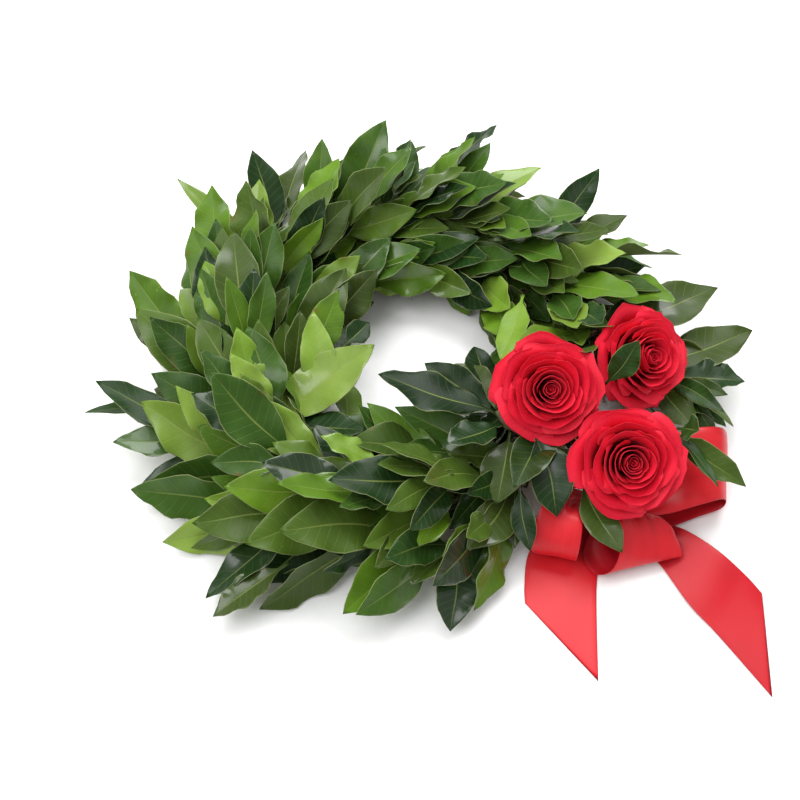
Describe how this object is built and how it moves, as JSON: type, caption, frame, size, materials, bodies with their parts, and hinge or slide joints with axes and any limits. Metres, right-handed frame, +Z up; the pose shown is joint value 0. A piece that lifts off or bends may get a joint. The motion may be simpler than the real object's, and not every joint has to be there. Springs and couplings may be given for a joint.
{
  "type": "laurel wreath",
  "caption": "Round laurel wreath of leafy sprigs bound on a straw ring, with red roses and a red satin ribbon bow with two tails.",
  "frame": {"origin": "centre of the bounding box on the surface that the wreath lies on", "axes": "+Z up from the surface, +Y towards the back of the picture, +X to its right"},
  "size_m": [0.3804, 0.3534, 0.0871],
  "materials": {
    "straw": "matt dry straw",
    "wire": "green lacquered florist wire",
    "laurel": "leathery leaf with a soft gloss",
    "petal": "velvety petal",
    "stem": "wire under green tape",
    "satin": "red satin ribbon"
  },
  "bodies": {
    "root": {"binding_wire": "wire", "bow_pick": "wire", "laurel_bunch_01": "laurel", "laurel_bunch_02": "laurel", "laurel_bunch_03": "laurel", "laurel_bunch_04": "laurel", "laurel_bunch_05": "laurel", "laurel_bunch_06": "laurel", "laurel_bunch_07": "laurel", "laurel_bunch_08": "laurel", "laurel_bunch_09": "laurel", "laurel_bunch_10": "laurel", "laurel_bunch_11": "laurel", "laurel_bunch_12": "laurel", "laurel_bunch_13": "laurel", "laurel_bunch_14": "laurel", "ribbon_bow": "satin", "rose_left": "petal", "rose_left_stem": "stem", "rose_lower": "petal", "rose_lower_stem": "stem", "rose_sprig_back": "laurel", "rose_sprig_bow": "laurel", "rose_sprig_front": "laurel", "rose_sprig_left": "laurel", "rose_sprig_low": "laurel", "rose_sprig_right": "laurel", "rose_upper": "petal", "rose_upper_stem": "stem", "straw_ring": "straw"}
  },
  "joints": []
}
